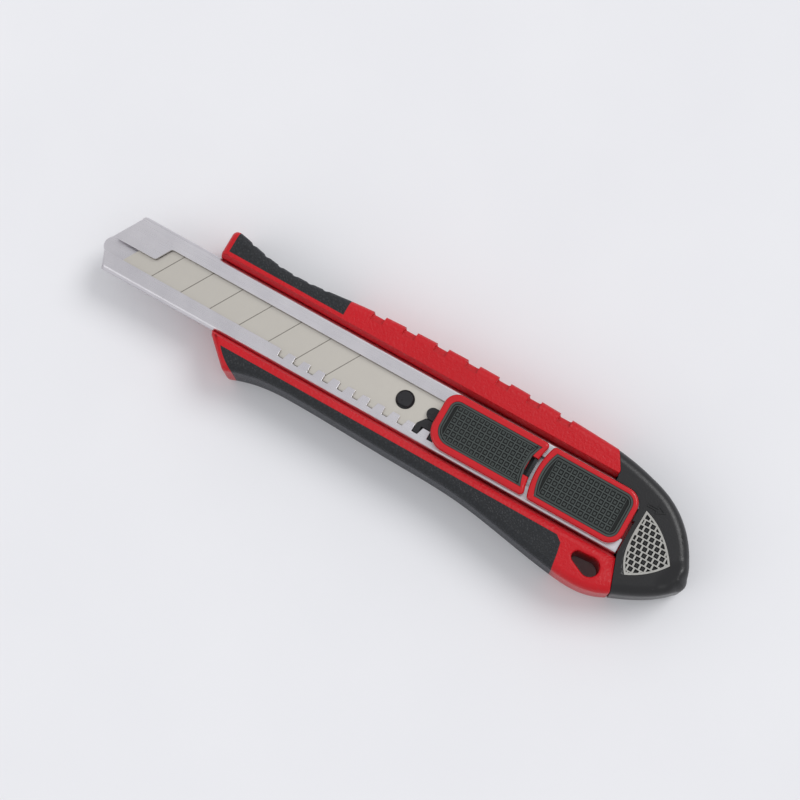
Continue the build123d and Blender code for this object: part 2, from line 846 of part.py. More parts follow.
with BuildPart() as handle_body:
    add(handle_blank.part)
    add(upper_tool, mode=Mode.SUBTRACT)
    add(lower_tool, mode=Mode.SUBTRACT)
    # magazine, open at the tail
    with BuildSketch(Plane.YZ.offset(tail_x)):
        with Locations((0, (magazine_floor + magazine_top) / 2)):
            Rectangle(2 * magazine_half, magazine_top - magazine_floor)
    extrude(amount=magazine_front_x - tail_x, mode=Mode.SUBTRACT)
    # lanyard slot
    with BuildSketch(Plane.XY.offset(-1)):
        with Locations((lanyard_x, lanyard_y)):
            Circle(lanyard_r)
        with Locations((lanyard_x + lanyard_reach, lanyard_y - lanyard_rise)):
            Circle(lanyard_small_r)
        make_hull()
    extrude(amount=handle_height + 2, mode=Mode.SUBTRACT)
    slot_rims = [
        edge
        for edge in handle_body.edges()
        if abs(edge.center().Z - handle_height / 2) > handle_height / 2 - 0.01
        and abs(edge.center().X - lanyard_x) < 8
        and abs(edge.center().Y - lanyard_y) < 4
    ]
    fillet(slot_rims, radius=lanyard_rim)
    # grip recesses in the back of the ridged side
    for count in range(recess_count):
        recess_x = nose_x - recess_first - count * recess_pitch
        floor_y = upper_side_y(recess_x) + recess_depth
        with BuildSketch(Plane.XY.offset(-1)):
            with Locations((recess_x, floor_y - 4)):
                RectangleRounded(recess_width, 8, 0.6)
        extrude(amount=handle_height + 2, mode=Mode.SUBTRACT)
        # it slopes in over both faces
        with BuildSketch(Plane.YZ.offset(recess_x - recess_width / 2)):
            for face_z, way in ((handle_height, 1), (0, -1)):
                with BuildLine():
                    Polyline(
                        (floor_y - recess_depth + scoop_reach, face_z),
                        (floor_y, face_z - way * scoop_drop),
                        (floor_y - 4, face_z - way * scoop_drop),
                        (floor_y - 4, face_z + way),
                        (floor_y - recess_depth + scoop_reach, face_z + way),
                        close=True,
                    )
                make_face()
        extrude(amount=recess_width, mode=Mode.SUBTRACT)
export_piece(handle_body.part, "handle_body")

# ---- magazine: spare blades, follower and leaf spring ----------------------------------------

spare_top = magazine_top - spare_gap
for count in range(spare_count):
    spare_z = spare_top - (count + 1) * (blade_thickness + spare_gap)
    export_piece(snap_blade_part(spare_front_x, spare_z), f"spare_blade_{count + 1}")

follower_top = spare_top - spare_count * (blade_thickness + spare_gap) - spare_gap
follower_x = spare_rear_x + blade_length / 2
with BuildPart() as magazine_follower:
    with BuildSketch(Plane.XY.offset(follower_top - follower_thickness)):
        with Locations((follower_x, 0)):
            RectangleRounded(60, blade_width - 1, 2)
    extrude(amount=follower_thickness)
export_piece(magazine_follower.part, "magazine_follower")

leaf_top = follower_top - follower_thickness
with BuildPart() as magazine_spring:
    with BuildSketch(Plane.XZ.offset(-leaf_width / 2)):
        with BuildLine():
            low = magazine_floor + 0.02
            ThreePointArc(
                (follower_x - 28, low), (follower_x, leaf_top - 0.02), (follower_x + 28, low)
            )
            Line((follower_x + 28, low), (follower_x + 27, low))
            ThreePointArc(
                (follower_x + 27, low),
                (follower_x, leaf_top - 0.02 - leaf_thickness),
                (follower_x - 27, low),
            )
            Line((follower_x - 27, low), (follower_x - 28, low))
        make_face()
    extrude(amount=leaf_width)
export_piece(magazine_spring.part, "magazine_spring")

# ---- end cap and its grid --------------------------------------------------------------------



def behind_front(share):
    """x at a share of the cap's length behind its front."""
    return cap_front_x - share * cap_length


cap_joint_points = joint_line(cap_joint)
cap_line = [
    cap_joint_points[0],
    (cap_front_x + 7.0, -channel_half - 6.4),
    (cap_front_x + 0.9, -channel_half - 4.9),
    (behind_front(0.23), -channel_half - 2.9),
    (behind_front(0.489), -channel_half + 0.4),
    (behind_front(0.811), -2.0),
    (tail_x + tip_shoulder, cap_tip_y - 2.3),
]
cap_under = [
    (tail_x + tip_under, cap_tip_y + 2.3),
    (behind_front(0.673), channel_half + 5.2),
    (behind_front(0.35), channel_half + 8.9),
    cap_joint_points[-1],
]

grid_top_y = -3.9


def grid_outline(grow, mode=Mode.ADD):
    """The grid seen from above, a rounded blade shape, grown all round by grow."""

    def point(share, y, out_x, out_y):
        return (behind_front(share) + grow * out_x, y + grow * out_y)

    top = point(0.078, -5.4, 1, -1.4)
    tip = point(0.691, 5.2, -1.4, 0.1)
    low = point(0.226, 13.7, 0.2, 1.4)
    with BuildLine() as line:
        Spline(top, point(0.304, -3.2, -0.5, -0.85), point(0.521, 0.6, -0.7, -0.7), tip)
        Spline(tip, point(0.484, 10.2, -0.7, 0.7), low)
        Spline(low, point(0.115, 9.5, 1, 0.2), point(0.069, 3.0, 1, 0), top)
    make_face(line.edges(), mode=mode)


with BuildPart() as end_cap:
    with BuildSketch(Plane.XY):
        with BuildLine():
            Spline(*cap_line)
            ThreePointArc(cap_line[-1], (tail_x, cap_tip_y), cap_under[0])
            Spline(*cap_under)
            Polyline(*cap_joint_points)
        make_face()
    extrude(amount=cap_height)
    outer = [
        edge
        for edge in end_cap.edges()
        if edge.geom_type in (GeomType.BSPLINE, GeomType.CIRCLE)
    ]
    fillet([edge for edge in outer if edge.center().Z > cap_height - 0.1], radius=cap_round)
    fillet([edge for edge in outer if edge.center().Z < 0.1], radius=cap_round)
    # hollow, and the plug that closes the magazine
    with BuildSketch(Plane.YZ.offset(cap_front_x - 9)):
        with Locations((0, (magazine_floor + magazine_top) / 2)):
            Rectangle(2 * (magazine_half - 1.6), magazine_top - magazine_floor - 1)
    extrude(amount=9.5, mode=Mode.SUBTRACT)
    with BuildSketch(Plane.YZ.offset(cap_front_x - 1)):
        with Locations((0, (magazine_floor + magazine_top) / 2)):
            Rectangle(2 * magazine_half - 0.1, magazine_top - magazine_floor - 0.1)
            Rectangle(
                2 * (magazine_half - plug_wall),
                magazine_top - magazine_floor - 2 * plug_wall,
                mode=Mode.SUBTRACT,
            )
    extrude(amount=1 + plug_depth)
    # slot for the rear block's shoe
    with BuildSketch(Plane.YZ.offset(cap_front_x - 4)):
        with Locations((0, (run_bottom + run_top) / 2)):
            Rectangle(2 * run_half + 0.1, run_top - run_bottom + 0.1)
    extrude(amount=5, mode=Mode.SUBTRACT)
    # corner plate over the lip, round the rear block's corner
    with BuildSketch(Plane.XY.offset(slider_z)):
        plate_front_x = cap_upper_x - cap_shoulder - 2 * cap_joint
        with Locations(((plate_front_x + cap_front_x - 1) / 2, -pocket_half / 2 - 1)):
            Rectangle(plate_front_x - cap_front_x + 1, pocket_half)
        block_outline(-corner_gap, Mode.SUBTRACT)
    extrude(amount=cap_height - slider_z)
    # seat of the grid
    with BuildSketch(Plane.XY.offset(cap_height - grid_depth)):
        grid_outline(grid_inset)
    extrude(amount=2 * grid_depth, mode=Mode.SUBTRACT)
export_piece(end_cap.part, "end_cap")

with BuildPart() as cap_grid:
    with BuildSketch(Plane.XY.offset(cap_height - grid_depth)):
        grid_outline(0)
    extrude(amount=grid_depth)
    # slanted windows, in rows that step back towards the tail
    with BuildSketch(Plane.XY.offset(cap_height - grid_depth - 0.1)):
        for row in range(grid_rows):
            row_y = grid_top_y + row * grid_row_pitch
            for column in range(-grid_columns, grid_columns):
                window_x = cap_front_x - 3 - column * grid_column_pitch - row * grid_step
                with Locations((window_x, row_y)):
                    Rectangle(window_size, window_size)
        grid_outline(-grid_border, mode=Mode.INTERSECT)
    extrude(amount=grid_depth + 1, mode=Mode.SUBTRACT)
export_piece(cap_grid.part, "cap_grid")
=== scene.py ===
"""Snap-off knife with a steel channel: the looks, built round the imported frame.

Metres, in the frame's own axes: the knife lies on its back on the floor at z = 0, +X points
towards the blade's tip, +Y to the finger side and +Z out of the slider side.
"""

import json
import math

import bmesh
import bpy
from mathutils import Matrix, Vector
from mathutils.bvhtree import BVHTree


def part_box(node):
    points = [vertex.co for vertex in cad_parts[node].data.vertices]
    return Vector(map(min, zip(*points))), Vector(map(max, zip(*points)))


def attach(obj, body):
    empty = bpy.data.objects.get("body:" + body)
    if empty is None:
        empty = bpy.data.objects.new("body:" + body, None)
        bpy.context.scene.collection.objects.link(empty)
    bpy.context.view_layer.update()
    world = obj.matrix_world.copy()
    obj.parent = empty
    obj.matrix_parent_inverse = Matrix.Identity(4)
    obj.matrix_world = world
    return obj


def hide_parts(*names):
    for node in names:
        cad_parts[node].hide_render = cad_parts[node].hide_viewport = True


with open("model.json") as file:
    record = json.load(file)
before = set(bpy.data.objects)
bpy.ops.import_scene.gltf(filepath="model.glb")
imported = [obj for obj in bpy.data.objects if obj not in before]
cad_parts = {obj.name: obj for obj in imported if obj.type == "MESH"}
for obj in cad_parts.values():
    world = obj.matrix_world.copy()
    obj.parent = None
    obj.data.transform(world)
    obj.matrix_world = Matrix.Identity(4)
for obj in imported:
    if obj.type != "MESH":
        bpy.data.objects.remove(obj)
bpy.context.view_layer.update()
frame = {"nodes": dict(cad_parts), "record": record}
nodes = frame["nodes"]

MM = 0.001

# ---- sizes, millimetres ----------------------------------------------------------------------

smooth_angle = math.radians(32)  # facets of a round stay smooth, real corners stay sharp
corner_angle = math.radians(40)  # a broken edge is one that turns by more than this
flat_angle = math.radians(0.5)  # triangles that turn by less are one flat face
same_point = 0.002  # corners closer than this are one
same_level = 0.01

score_depth = 0.12  # of the blade's score lines

# pads: border band with a groove, round a lowered field
pad_edge = 0.15  # broken outer edge
band_outer = 0.45
groove_wall = 0.08
groove_floor = 0.22
groove_depth = 0.35
band_inner = 0.22
field_wall = 0.1
field_depth = 0.5
shortest_step = 0.3  # outline points closer than this are one

# the field's square pits
pit_pitch_x = 1.75
pit_pitch_y = 1.9
pit_rows = 6
pit_depth = 0.36
pit_share = 0.84  # pit's mouth of its pitch
pit_taper = 0.9  # pit's floor of its mouth
pit_stud_share = 0.7  # stud's foot of the floor
pit_stud_taper = 0.8  # stud's head of its foot
pit_stud_rise = 0.7  # of the pit's depth
rear_pit_columns = 13
thumb_pit_columns = 14
lattice_height = 0.6
lattice_sink = 0.06  # below the border band

# studs in the cap grid's windows
window_pitch_x = 1.87
window_pitch_y = 1.7
window_step = 0.7
window_start_back = 3.0
window_start_y = -3.9
window_rows = 11
window_columns = 8
channel_gap = 0.3  # channel's rear end to the cap's front
stud_side = 0.95
stud_height = 1.0
stud_taper = 0.8  # head of the foot
stud_clear = 0.52  # half the side of the free space that a stud needs

# the cap's crest and dish
cap_round = 3.2
crest_in = 3.3  # from the cap's outer edge
crest_foot = 7.5  # where the dish levels out
crest_rise = 1.25
grid_margin = 1.6  # over which the crest dies away towards the grid
cut_pitch = 0.8  # of the cuts that let the cap's top bend
rim_play = 0.05  # of the rim's corners about its level

# arrow on the cap: a raised outline
arrow_back = 1.4  # its tail end behind the cap's front
arrow_length = 5.3
arrow_y = -7.2
arrow_shaft = 0.35  # half width
arrow_head = 1.15
arrow_head_length = 2.4
arrow_line = 0.17  # half width of the outline
arrow_rise = 0.32
arrow_sink = 0.1  # of its foot into the cap


# ---- materials -------------------------------------------------------------------------------


def linear(hex_colour):
    """An sRGB hex colour as the linear RGBA that shaders take."""
    channels = [int(hex_colour[i : i + 2], 16) / 255 for i in (0, 2, 4)]
    bent = [c / 12.92 if c <= 0.04045 else ((c + 0.055) / 1.055) ** 2.4 for c in channels]
    return (*bent, 1.0)


def per_mm(size):
    """Texture scale for a pattern that repeats about every size millimetres."""
    return 1 / (size * MM)


def add_node(tree, kind, values=None, links=None, **settings):
    """Adds a node: settings are its properties, values its sockets' values, links its inputs."""
    made = tree.nodes.new(kind)
    for name, value in settings.items():
        setattr(made, name, value)
    for socket, value in (values or {}).items():
        made.inputs[socket].default_value = value
    for socket, output in (links or {}).items():
        tree.links.new(output, made.inputs[socket])
    return made


def new_material(name, colour, roughness, **sockets):
    """A named Principled material and its tree. Constant values sit on the shader's own sockets."""
    made = bpy.data.materials.new(name)
    made.use_nodes = True
    made.diffuse_color = linear(colour)
    shader = made.node_tree.nodes["Principled BSDF"]
    shader.inputs["Base Color"].default_value = linear(colour)
    shader.inputs["Roughness"].default_value = roughness
    for socket, value in sockets.items():
        shader.inputs[socket.replace("_", " ")].default_value = value
    return made, made.node_tree


def wire(tree, colour, roughness, bumps=()):
    """Wires patterns to the shader: colour and roughness as (pattern, at 0, at 1), bumps as
    (pattern, depth in mm, strength) from the coarsest to the finest."""
    shader = tree.nodes["Principled BSDF"]
    pattern, low, high = colour
    shades = add_node(
        tree,
        "ShaderNodeMix",
        {6: linear(low), 7: linear(high)},
        {"Factor": pattern},
        data_type="RGBA",
    )
    tree.links.new(shades.outputs[2], shader.inputs["Base Color"])
    pattern, low, high = roughness
    spread = add_node(
        tree, "ShaderNodeMapRange", {"To Min": low, "To Max": high}, {"Value": pattern}
    )
    tree.links.new(spread.outputs["Result"], shader.inputs["Roughness"])
    under = {}
    for pattern, depth_mm, strength in bumps:
        bump = add_node(
            tree,
            "ShaderNodeBump",
            {"Strength": strength, "Distance": depth_mm * MM},
            {"Height": pattern, **under},
        )
        under = {"Normal": bump.outputs["Normal"]}
    for socket, output in under.items():
        tree.links.new(output, shader.inputs[socket])


def spark_eroded_red_abs():
    """Red ABS from a spark-eroded mould: a coarse sparkling grain, as on power tools.

    The grain is about 0.3 mm on the real part and is drawn at 0.7 mm so that it shows."""
    made, tree = new_material(
        "red_abs_spark_eroded", "B90F1B", 0.36, IOR=1.53, Specular_IOR_Level=0.22
    )
    at = {"Vector": add_node(tree, "ShaderNodeTexCoord").outputs["Object"]}
    grain = add_node(
        tree, "ShaderNodeTexNoise", {"Scale": per_mm(0.7), "Detail": 3.0, "Roughness": 0.65}, at
    )
    pits = add_node(tree, "ShaderNodeTexVoronoi", {"Scale": per_mm(1.0), "Randomness": 1.0}, at)
    flow = add_node(tree, "ShaderNodeTexNoise", {"Scale": per_mm(26), "Detail": 2.0}, at)
    wire(
        tree,
        (flow.outputs["Fac"], "AE0D18", "C41420"),
        (grain.outputs["Fac"], 0.2, 0.42),
        ((pits.outputs["Distance"], 0.08, 0.6), (grain.outputs["Fac"], 0.2, 1.0)),
    )
    return made


def polished_red_abs():
    """Red ABS from a polished mould: glossy, with the faint orange peel of a moulded frame."""
    made, tree = new_material(
        "red_abs_polished", "BC101B", 0.2, IOR=1.53, Specular_IOR_Level=0.3, Coat_Weight=0.1
    )
    at = {"Vector": add_node(tree, "ShaderNodeTexCoord").outputs["Object"]}
    peel = add_node(tree, "ShaderNodeTexNoise", {"Scale": per_mm(2.2), "Detail": 2.0}, at)
    fine = add_node(tree, "ShaderNodeTexNoise", {"Scale": per_mm(0.35), "Detail": 2.0}, at)
    wire(
        tree,
        (peel.outputs["Fac"], "B40E19", "C3131F"),
        (fine.outputs["Fac"], 0.14, 0.28),
        ((peel.outputs["Fac"], 0.03, 0.6),),
    )
    return made


def leather_grain_rubber():
    """Black thermoplastic rubber with a moulded leather grain: soft, with painted shade in its
    creases and a blue-tinted sheen that is a painted cool reflection.
    """
    made, tree = new_material(
        "black_tpe_leather_grain",
        "1F2226",
        0.5,
        IOR=1.5,
        Specular_IOR_Level=0.35,
        # the sheen's blue tint is a painted cool reflection, not a colour of the rubber
        Sheen_Weight=0.06,
        Sheen_Roughness=0.4,
        Sheen_Tint=linear("8E96B8"),
    )
    at = {"Vector": add_node(tree, "ShaderNodeTexCoord").outputs["Object"]}
    bend_by = 0.9 * MM
    bend = add_node(tree, "ShaderNodeTexNoise", {"Scale": per_mm(1.6), "Detail": 2.0}, at)
    bent = add_node(
        tree,
        "ShaderNodeVectorMath",
        {1: (bend_by, bend_by, bend_by)},
        {0: bend.outputs["Color"], 2: at["Vector"]},
        operation="MULTIPLY_ADD",
    )
    cells = add_node(
        tree,
        "ShaderNodeTexVoronoi",
        {"Scale": per_mm(0.85)},
        {"Vector": bent.outputs["Vector"]},
        feature="DISTANCE_TO_EDGE",
    )
    creases = add_node(
        tree,
        "ShaderNodeMapRange",
        {"From Max": 0.3},
        {"Value": cells.outputs["Distance"]},
        interpolation_type="SMOOTHSTEP",
    )
    fine = add_node(tree, "ShaderNodeTexNoise", {"Scale": per_mm(0.4), "Detail": 3.0}, at)
    # the creases are painted darker than the cells: painted shade in the grain's hollows
    wire(
        tree,
        (creases.outputs["Result"], "131518", "1D2024"),
        (fine.outputs["Fac"], 0.36, 0.56),
        ((creases.outputs["Result"], 0.09, 0.9), (fine.outputs["Fac"], 0.04, 0.5)),
    )
    return made


def matt_grey_rubber():
    """Grey-green thermoplastic rubber of the pads: matt, with painted shade that darkens it with
    depth, so the pits are dark and the ridges pale.
    """
    made, tree = new_material(
        "grey_tpe_matt", "3A3F3E", 0.62, IOR=1.5, Specular_IOR_Level=0.25, Sheen_Weight=0.05
    )
    at = {"Vector": add_node(tree, "ShaderNodeTexCoord").outputs["Object"]}
    height = add_node(tree, "ShaderNodeSeparateXYZ", None, at)
    pad_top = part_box("rear_pad")[1].z
    # painted shade: the colour darkens with depth below the pad's top, from the field's floor up to
    # the band
    pit_depth_shade = add_node(
        tree,
        "ShaderNodeMapRange",
        {"From Min": pad_top - field_depth * MM, "From Max": pad_top},
        {"Value": height.outputs["Z"]},
        interpolation_type="SMOOTHSTEP",
    )
    fine = add_node(tree, "ShaderNodeTexNoise", {"Scale": per_mm(0.35), "Detail": 3.0}, at)
    wire(
        tree,
        (pit_depth_shade.outputs["Result"], "151817", "434947"),
        (fine.outputs["Fac"], 0.45, 0.65),
        ((fine.outputs["Fac"], 0.04, 0.7),),
    )
    return made


def brushed_stainless():
    """Stainless strip brushed lengthwise, then folded: fine streaks along X, faint smudges.

    Real brush marks are about 0.05 mm apart and are drawn at 0.3 mm so that they show."""
    made, tree = new_material("stainless_brushed", "CFCCD0", 0.28, Metallic=1.0, Anisotropic=0.3)
    at = {"Vector": add_node(tree, "ShaderNodeTexCoord").outputs["Object"]}
    lengthwise = add_node(tree, "ShaderNodeMapping", {"Scale": (0.03, 1, 1)}, at)
    streaks = add_node(
        tree,
        "ShaderNodeTexNoise",
        {"Scale": per_mm(0.3), "Detail": 4.0, "Roughness": 0.7},
        {"Vector": lengthwise.outputs["Vector"]},
    )
    smudges = add_node(
        tree, "ShaderNodeTexNoise", {"Scale": per_mm(9), "Detail": 4.0, "Roughness": 0.6}, at
    )
    wire(
        tree,
        (smudges.outputs["Fac"], "C4C1C6", "DEDBDE"),
        (streaks.outputs["Fac"], 0.2, 0.38),
        ((streaks.outputs["Fac"], 0.015, 0.6),),
    )
    return made


def ground_blade_steel():
    """Carbon blade steel, satin ground across its width, slightly warm, with painted shade in the
    score lines.

    Real grinding marks are finer than 0.1 mm and are drawn at 0.28 mm so that they show."""
    made, tree = new_material("blade_steel_ground", "CDC8BF", 0.36, Metallic=1.0)
    at = {"Vector": add_node(tree, "ShaderNodeTexCoord").outputs["Object"]}
    crosswise = add_node(tree, "ShaderNodeMapping", {"Scale": (1, 0.08, 0.08)}, at)
    streaks = add_node(
        tree,
        "ShaderNodeTexNoise",
        {"Scale": per_mm(0.28), "Detail": 3.0, "Roughness": 0.6},
        {"Vector": crosswise.outputs["Vector"]},
    )
    # painted shade in the score lines, at the depth of their floor
    height = add_node(tree, "ShaderNodeSeparateXYZ", None, at)
    score_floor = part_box("snap_blade")[1].z - score_depth * MM
    score_line_shade = add_node(
        tree,
        "ShaderNodeMath",
        {1: score_floor, 2: score_depth / 2 * MM},
        {0: height.outputs["Z"]},
        operation="COMPARE",
    )
    wire(
        tree,
        (score_line_shade.outputs["Value"], "CDC8BF", "928D85"),
        (streaks.outputs["Fac"], 0.28, 0.44),
        ((streaks.outputs["Fac"], 0.01, 0.4),),
    )
    return made


def spring_steel_wire():
    """Oil-tempered spring steel: dark, smooth, with drawing lines."""
    made, tree = new_material("spring_steel_tempered", "8A8781", 0.3, Metallic=1.0)
    at = {"Vector": add_node(tree, "ShaderNodeTexCoord").outputs["Object"]}
    lines = add_node(tree, "ShaderNodeTexNoise", {"Scale": per_mm(0.6), "Detail": 3.0}, at)
    wire(tree, (lines.outputs["Fac"], "77746F", "98958F"), (lines.outputs["Fac"], 0.22, 0.4))
    return made


def moulded_acetal():
    """Dark grey acetal of the carrier and pawl: waxy, smooth, a little worn where it runs."""
    made, tree = new_material("grey_acetal_moulded", "1C1C1E", 0.3, IOR=1.48, Specular_IOR_Level=0.4)
    at = {"Vector": add_node(tree, "ShaderNodeTexCoord").outputs["Object"]}
    wear = add_node(tree, "ShaderNodeTexNoise", {"Scale": per_mm(1.6), "Detail": 3.0}, at)
    fine = add_node(tree, "ShaderNodeTexNoise", {"Scale": per_mm(0.4), "Detail": 2.0}, at)
    wire(
        tree,
        (wear.outputs["Fac"], "17171A", "242427"),
        (wear.outputs["Fac"], 0.2, 0.38),
        ((fine.outputs["Fac"], 0.03, 0.5),),
    )
    return made


def satin_black_abs():
    """Black ABS from a lightly etched mould: satin, with broad soft highlights on its crest."""
    made, tree = new_material("black_abs_satin", "161618", 0.36, IOR=1.53, Specular_IOR_Level=0.4)
    at = {"Vector": add_node(tree, "ShaderNodeTexCoord").outputs["Object"]}
    etch = add_node(
        tree, "ShaderNodeTexNoise", {"Scale": per_mm(0.45), "Detail": 3.0, "Roughness": 0.6}, at
    )
    flow = add_node(tree, "ShaderNodeTexNoise", {"Scale": per_mm(12), "Detail": 2.0}, at)
    wire(
        tree,
        (flow.outputs["Fac"], "0F0F11", "171719"),
        (etch.outputs["Fac"], 0.26, 0.42),
        ((etch.outputs["Fac"], 0.06, 0.7),),
    )
    return made


def light_grey_abs():
    """Light grey ABS of the cap's lattice: half-matt, faintly mottled."""
    made, tree = new_material(
        "light_grey_abs_satin", "A09F9A", 0.45, IOR=1.53, Specular_IOR_Level=0.35
    )
    at = {"Vector": add_node(tree, "ShaderNodeTexCoord").outputs["Object"]}
    mottle = add_node(
        tree, "ShaderNodeTexNoise", {"Scale": per_mm(0.9), "Detail": 4.0, "Roughness": 0.7}, at
    )
    wire(
        tree,
        (mottle.outputs["Fac"], "8B8A85", "B3B2AD"),
        (mottle.outputs["Fac"], 0.36, 0.55),
        ((mottle.outputs["Fac"], 0.04, 0.6),),
    )
    return made


def studio_floor():
    """Pale matt card that the knife lies on."""
    made, tree = new_material("pale_card", "E4E4E6", 0.9, Specular_IOR_Level=0.2)
    at = {"Vector": add_node(tree, "ShaderNodeTexCoord").outputs["Object"]}
    fibre = add_node(tree, "ShaderNodeTexNoise", {"Scale": per_mm(60), "Detail": 3.0}, at)
    wire(tree, (fibre.outputs["Fac"], "E1E1E4", "E7E7E9"), (fibre.outputs["Fac"], 0.85, 0.95))
    return made


red_grained = spark_eroded_red_abs()
red_glossy = polished_red_abs()
leather = leather_grain_rubber()
pad_rubber = matt_grey_rubber()
stainless = brushed_stainless()
blade_steel = ground_blade_steel()
spring_steel = spring_steel_wire()
acetal = moulded_acetal()
black_abs = satin_black_abs()
grid_abs = light_grey_abs()
floor_card = studio_floor()

node_materials = {
    "handle_body": red_grained,
    "upper_grip": leather,
    "lower_grip": leather,
    "blade_channel": stainless,
    "snap_blade": blade_steel,
    "spare_blade_1": blade_steel,
    "spare_blade_2": blade_steel,
    "spare_blade_3": blade_steel,
    "magazine_spring": spring_steel,
    "magazine_follower": acetal,
    "blade_carrier": acetal,
    "lock_pawl": acetal,
    "pawl_spring": spring_steel,
    "front_slider_spring": spring_steel,
    "rear_slider_spring": spring_steel,
    "thumb_slider": red_glossy,
    "thumb_pad": pad_rubber,
    "rear_block": red_glossy,
    "rear_pad": pad_rubber,
    "end_cap": black_abs,
    "cap_grid": grid_abs,
}
bodies = frame["record"]["behaviour"]["bodies"]
body_of = {node: body for body, members in bodies.items() for node in members}


def dress(piece, material):
    """Gives a piece one material for all its faces."""
    piece.data.materials.clear()
    piece.data.materials.append(material)
    piece.data.polygons.foreach_set("material_index", [0] * len(piece.data.polygons))


for name, material in node_materials.items():
    dress(nodes[name], material)


# ---- mesh helpers ----------------------------------------------------------------------------


def new_piece(name, bm, material):
    """Turns a bmesh into a smooth-shaded piece at the origin."""
    mesh = bpy.data.meshes.new(name)
    bm.to_mesh(mesh)
    bm.free()
    piece = bpy.data.objects.new(name, mesh)
    bpy.context.scene.collection.objects.link(piece)
    mesh.materials.append(material)
    mesh.polygons.foreach_set("use_smooth", [True] * len(mesh.polygons))
    mesh.set_sharp_from_angle(angle=smooth_angle)
    return piece


def merged_copy(node):
    """A CAD node's mesh as joined faces: doubles merged and flat faces made whole."""
    bm = bmesh.new()
    bm.from_mesh(nodes[node].data)
    bmesh.ops.remove_doubles(bm, verts=bm.verts, dist=same_point * MM)
    bmesh.ops.dissolve_limit(bm, angle_limit=flat_angle, verts=bm.verts, edges=bm.edges)
    return bm


def smooth_copy(node, material, edge_mm=0.0):
    """A finished copy of a CAD node that stands for it: smooth rounds, edges broken by edge_mm."""
    piece = new_piece(node + "_finish", merged_copy(node), material)
    if edge_mm:
        bevel = piece.modifiers.new("broken_edges", "BEVEL")
        bevel.width = edge_mm * MM
        bevel.segments = 2
        bevel.limit_method = "ANGLE"
        bevel.angle_limit = corner_angle
    even = piece.modifiers.new("even_normals", "WEIGHTED_NORMAL")
    even.keep_sharp = True
    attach(piece, body_of[node])
    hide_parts(node)
    return piece


smooth_copy("handle_body", red_grained)
smooth_copy("upper_grip", leather)
smooth_copy("lower_grip", leather)
smooth_copy("blade_channel", stainless, 0.22)
smooth_copy("thumb_slider", red_glossy, 0.12)
smooth_copy("rear_block", red_glossy, 0.12)
smooth_copy("blade_carrier", acetal, 0.15)
smooth_copy("lock_pawl", acetal, 0.1)


# ---- the pads --------------------------------------------------------------------------------


def top_outline(node):
    """The plan outline of a CAD node's top face, anticlockwise, without its shortest steps."""
    bm = merged_copy(node)
    flat = [f for f in bm.faces if f.normal.z > 0.99]
    level = max(f.calc_center_median().z for f in flat)
    highest = [f for f in flat if f.calc_center_median().z > level - same_level * MM]
    top = max(highest, key=lambda face: face.calc_area())
    points = [loop.vert.co.copy() for loop in top.loops]
    bm.free()
    kept = [points[0]]
    for point in points[1:]:
        if min((point - kept[-1]).length, (point - kept[0]).length) > shortest_step * MM:
            kept.append(point)
    return [Vector((p.x, p.y)) for p in kept], level


def shrunk(points, width):
    """An anticlockwise outline moved inwards by width millimetres."""
    moved = []
    for i, here in enumerate(points):
        before = (here - points[i - 1]).normalized()
        after = (points[(i + 1) % len(points)] - here).normalized()
        first = Vector((-before.y, before.x))
        second = Vector((-after.y, after.x))
        moved.append(here + (first + second) * width * MM / max(0.5, 1 + first.dot(second)))
    return moved


def skin(rings):
    """A closed bmesh through rings of points at their levels, capped at both ends."""
    bm = bmesh.new()
    loops = [[bm.verts.new((p.x, p.y, z)) for p in points] for points, z in rings]
    for lower, upper in zip(loops, loops[1:]):
        for i in range(len(lower)):
            j = (i + 1) % len(lower)
            bm.faces.new((lower[i], lower[j], upper[j], upper[i]))
    bm.faces.new(list(reversed(loops[0])))
    bm.faces.new(loops[-1])
    return bm


def grooved_pad(node):
    """A rubber pad: a grooved border band round a lowered field. Returns its top's centre."""
    outline, top = top_outline(node)
    low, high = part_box(node)
    profile = (
        (0, low.z),
        (0, top - pad_edge * MM),
        (pad_edge, top),
        (band_outer, top),
        (groove_wall, top - groove_depth * MM),
        (groove_floor, top - groove_depth * MM),
        (groove_wall, top),
        (band_inner, top),
        (field_wall, top - field_depth * MM),
    )
    inset, rings = 0.0, []
    for width, level in profile:
        inset += width
        rings.append((shrunk(outline, inset), level))
    piece = new_piece(node + "_finish", skin(rings), pad_rubber)
    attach(piece, body_of[node])
    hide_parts(node)
    return Vector(((low.x + high.x) / 2, (low.y + high.y) / 2, top))


def input_tree(name, inputs):
    """A Geometry Nodes tree with named inputs, and the outputs that hand them on."""
    tree = bpy.data.node_groups.new(name, "GeometryNodeTree")
    tree.interface.new_socket("Geometry", in_out="INPUT", socket_type="NodeSocketGeometry")
    for label, kind in inputs:
        tree.interface.new_socket(label, in_out="INPUT", socket_type=kind)
    tree.interface.new_socket("Geometry", in_out="OUTPUT", socket_type="NodeSocketGeometry")
    return tree, add_node(tree, "NodeGroupInput").outputs


def finish_tree(tree, geometry, material):
    """Ends a tree in Realize Instances and Set Material."""
    real = add_node(tree, "GeometryNodeRealizeInstances", None, {"Geometry": geometry})
    painted = add_node(
        tree, "GeometryNodeSetMaterial", None, {"Geometry": real.outputs[0], "Material": material}
    )
    add_node(tree, "NodeGroupOutput", None, {"Geometry": painted.outputs[0]})
    return tree


